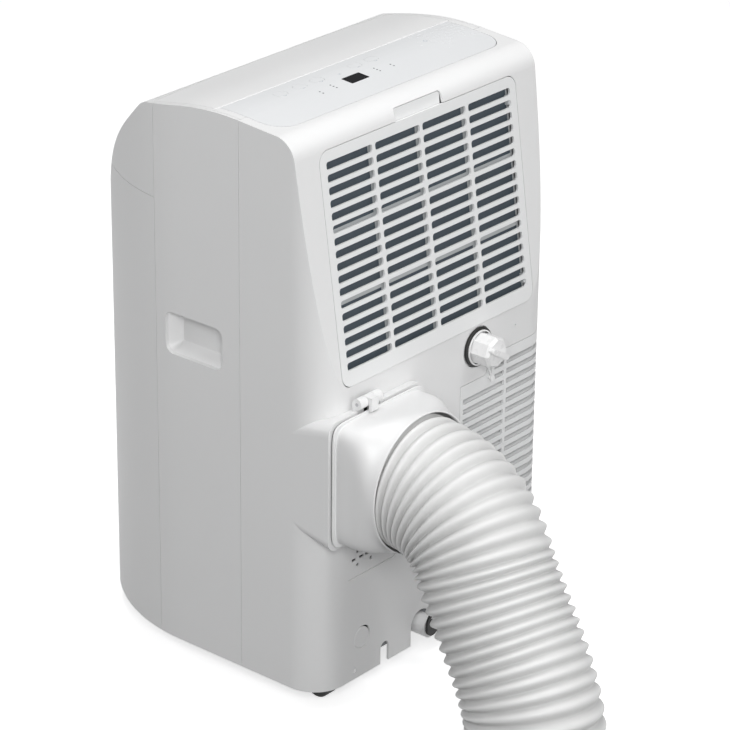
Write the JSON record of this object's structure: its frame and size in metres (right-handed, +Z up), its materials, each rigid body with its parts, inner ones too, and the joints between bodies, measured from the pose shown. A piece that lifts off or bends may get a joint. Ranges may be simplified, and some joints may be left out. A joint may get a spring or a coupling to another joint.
{
  "type": "portable air conditioner",
  "caption": "Upright portable air conditioner on castors with tilted rear filter grille, top air outlet flap, side hand grips and a fitted corrugated exhaust duct.",
  "frame": {"origin": "on the floor, at the middle of the cabinet with its drain cap, exhaust duct left out", "axes": "+Z up, -Y towards the front, +Y towards the rear grille and duct, +X the side nearer the duct"},
  "size_m": [0.4738, 0.783, 0.7491],
  "materials": {
    "casing_white": "fine satin moulded",
    "grille_white": "satin",
    "panel_white": "smooth film overlay",
    "display_black": "gloss",
    "lamp_grey": "gloss",
    "key_film": "smooth film overlay",
    "duct_white": "satin",
    "hose_white": "soft satin",
    "cap_white": "satin",
    "plug_rubber": "matte",
    "castor_black": "satin",
    "wheel_tread": "matte",
    "coil_fins": "coated fins",
    "painted_steel": "semi-gloss paint",
    "pan_steel": "matte",
    "copper": "drawn tube",
    "scroll_grey": "matte",
    "blower_black": "matte",
    "board_green": "solder mask",
    "filter_net": "fine net",
    "zinc_steel": "zinc plated"
  },
  "bodies": {
    "cabinet": {"base_pan": "pan_steel", "blanking_cover": "casing_white", "cap_strap": "cap_white", "compressor": "painted_steel", "condenser": "coil_fins", "control_board": "board_green", "control_panel": "panel_white", "display_window": "display_black", "divider_tray": "scroll_grey", "drain_side_panel": "casing_white", "drain_spout": "cap_white", "duct_connector": "duct_white", "duct_side_panel": "casing_white", "duct_socket": "duct_white", "evaporator": "coil_fins", "exhaust_hose": "hose_white", "front_lower_panel": "casing_white", "front_upper_panel": "casing_white", "hose_collar": "duct_white", "hose_cuff": "duct_white", "indicator_lamps": "lamp_grey", "latch_pin": "zinc_steel", "low_drain_spout": "cap_white", "lower_grille": "grille_white", "lower_motor": "painted_steel", "lower_scroll": "scroll_grey", "outlet_duct": "scroll_grey", "plug_parking": "casing_white", "rear_shell": "casing_white", "refrigerant_pipes": "copper", "run_capacitor": "zinc_steel", "top_surround": "casing_white", "upper_motor": "painted_steel", "upper_scroll": "scroll_grey"},
    "flap": {"outlet_flap": "casing_white"},
    "vane_1": {"outlet_vane_1": "scroll_grey"},
    "vane_2": {"outlet_vane_2": "scroll_grey"},
    "vane_3": {"outlet_vane_3": "scroll_grey"},
    "vane_4": {"outlet_vane_4": "scroll_grey"},
    "vane_link": {"vane_link": "scroll_grey"},
    "key_1": {"key_1": "key_film"},
    "key_2": {"key_2": "key_film"},
    "key_3": {"key_3": "key_film"},
    "key_4": {"key_4": "key_film"},
    "key_5": {"key_5": "key_film"},
    "filter_door": {"filter_grille": "grille_white", "filter_mesh": "filter_net"},
    "latch": {"duct_latch": "duct_white"},
    "drain_cap": {"drain_cap": "cap_white"},
    "drain_plug": {"low_drain_plug": "plug_rubber"},
    "upper_fan": {"upper_blower": "blower_black"},
    "lower_fan": {"lower_blower": "blower_black"},
    "fork_front_right": {"castor_fork_front_right": "castor_black"},
    "wheel_front_right": {"castor_wheel_front_right": "wheel_tread"},
    "fork_front_left": {"castor_fork_front_left": "castor_black"},
    "wheel_front_left": {"castor_wheel_front_left": "wheel_tread"},
    "fork_rear_right": {"castor_fork_rear_right": "castor_black"},
    "wheel_rear_right": {"castor_wheel_rear_right": "wheel_tread"},
    "fork_rear_left": {"castor_fork_rear_left": "castor_black"},
    "wheel_rear_left": {"castor_wheel_rear_left": "wheel_tread"}
  },
  "joints": [
    {"name": "flap_hinge", "type": "hinge", "parent": "cabinet", "child": "flap", "pos_m": [0, 0.0168, 0.74633], "axis": [-1, 0, 0], "range_deg": [0, 70]},
    {"name": "vane_1_swing", "type": "hinge", "parent": "cabinet", "child": "vane_1", "pos_m": [-0.144, -0.038, 0.685], "axis": [0, 1, 0], "range_deg": [-30, 30]},
    {"name": "vane_2_swing", "type": "hinge", "parent": "cabinet", "child": "vane_2", "pos_m": [-0.048, -0.038, 0.685], "axis": [0, 1, 0], "range_deg": [-30, 30]},
    {"name": "vane_3_swing", "type": "hinge", "parent": "cabinet", "child": "vane_3", "pos_m": [0.048, -0.038, 0.685], "axis": [0, 1, 0], "range_deg": [-30, 30]},
    {"name": "vane_4_swing", "type": "hinge", "parent": "cabinet", "child": "vane_4", "pos_m": [0.144, -0.038, 0.685], "axis": [0, 1, 0], "range_deg": [-30, 30]},
    {"name": "link_slide", "type": "slide", "parent": "cabinet", "child": "vane_link", "axis": [1, 0, 0], "range_m": [-0.0125, 0.0125]},
    {"name": "key_1_press", "type": "slide", "parent": "cabinet", "child": "key_1", "axis": [0, 0, -1], "range_m": [0, 0.0006], "stiffness_N_per_m": 300, "springref_m": -0.0005},
    {"name": "key_2_press", "type": "slide", "parent": "cabinet", "child": "key_2", "axis": [0, 0, -1], "range_m": [0, 0.0006], "stiffness_N_per_m": 300, "springref_m": -0.0005},
    {"name": "key_3_press", "type": "slide", "parent": "cabinet", "child": "key_3", "axis": [0, 0, -1], "range_m": [0, 0.0006], "stiffness_N_per_m": 300, "springref_m": -0.0005},
    {"name": "key_4_press", "type": "slide", "parent": "cabinet", "child": "key_4", "axis": [0, 0, -1], "range_m": [0, 0.0006], "stiffness_N_per_m": 300, "springref_m": -0.0005},
    {"name": "key_5_press", "type": "slide", "parent": "cabinet", "child": "key_5", "axis": [0, 0, -1], "range_m": [0, 0.0006], "stiffness_N_per_m": 300, "springref_m": -0.0005},
    {"name": "filter_door_hinge", "type": "hinge", "parent": "cabinet", "child": "filter_door", "pos_m": [0, 0.18733, 0.43128], "axis": [-1, 0, 0], "range_deg": [0, 60]},
    {"name": "latch_hinge", "type": "hinge", "parent": "cabinet", "child": "latch", "pos_m": [0.15125, 0.2, 0.4105], "axis": [1, 0, 0], "range_deg": [0, 75]},
    {"name": "drain_cap_pull", "type": "slide", "parent": "cabinet", "child": "drain_cap", "axis": [0, 1, 0], "range_m": [0, 0.03]},
    {"name": "drain_plug_pull", "type": "slide", "parent": "cabinet", "child": "drain_plug", "axis": [0, 1, 0], "range_m": [0, 0.025]},
    {"name": "upper_fan_spin", "type": "hinge", "parent": "cabinet", "child": "upper_fan", "pos_m": [0, 0.01, 0.5353], "axis": [0, -1, 0], "continuous": true},
    {"name": "lower_fan_spin", "type": "hinge", "parent": "cabinet", "child": "lower_fan", "pos_m": [0.13525, 0.042, 0.302], "axis": [-1, 0, 0], "continuous": true},
    {"name": "swivel_front_right", "type": "hinge", "parent": "cabinet", "child": "fork_front_right", "pos_m": [0.15, -0.142, 0.048], "axis": [0, 0, 1], "continuous": true},
    {"name": "roll_front_right", "type": "hinge", "parent": "fork_front_right", "child": "wheel_front_right", "pos_m": [0.15, -0.131, 0.019], "axis": [1, 0, 0], "continuous": true},
    {"name": "swivel_front_left", "type": "hinge", "parent": "cabinet", "child": "fork_front_left", "pos_m": [-0.15, -0.142, 0.048], "axis": [0, 0, 1], "continuous": true},
    {"name": "roll_front_left", "type": "hinge", "parent": "fork_front_left", "child": "wheel_front_left", "pos_m": [-0.15, -0.131, 0.019], "axis": [1, 0, 0], "continuous": true},
    {"name": "swivel_rear_right", "type": "hinge", "parent": "cabinet", "child": "fork_rear_right", "pos_m": [0.17275, 0.138, 0.048], "axis": [0, 0, 1], "continuous": true},
    {"name": "roll_rear_right", "type": "hinge", "parent": "fork_rear_right", "child": "wheel_rear_right", "pos_m": [0.17275, 0.149, 0.019], "axis": [1, 0, 0], "continuous": true},
    {"name": "swivel_rear_left", "type": "hinge", "parent": "cabinet", "child": "fork_rear_left", "pos_m": [-0.17275, 0.138, 0.048], "axis": [0, 0, 1], "continuous": true},
    {"name": "roll_rear_left", "type": "hinge", "parent": "fork_rear_left", "child": "wheel_rear_left", "pos_m": [-0.17275, 0.149, 0.019], "axis": [1, 0, 0], "continuous": true}
  ],
  "couplings": [
    {"joint": "vane_2_swing", "follows": "vane_1_swing", "ratio": 1},
    {"joint": "vane_3_swing", "follows": "vane_1_swing", "ratio": 1},
    {"joint": "vane_4_swing", "follows": "vane_1_swing", "ratio": 1},
    {"joint": "link_slide", "follows": "vane_1_swing", "m_per_rad": -0.022918}
  ]
}
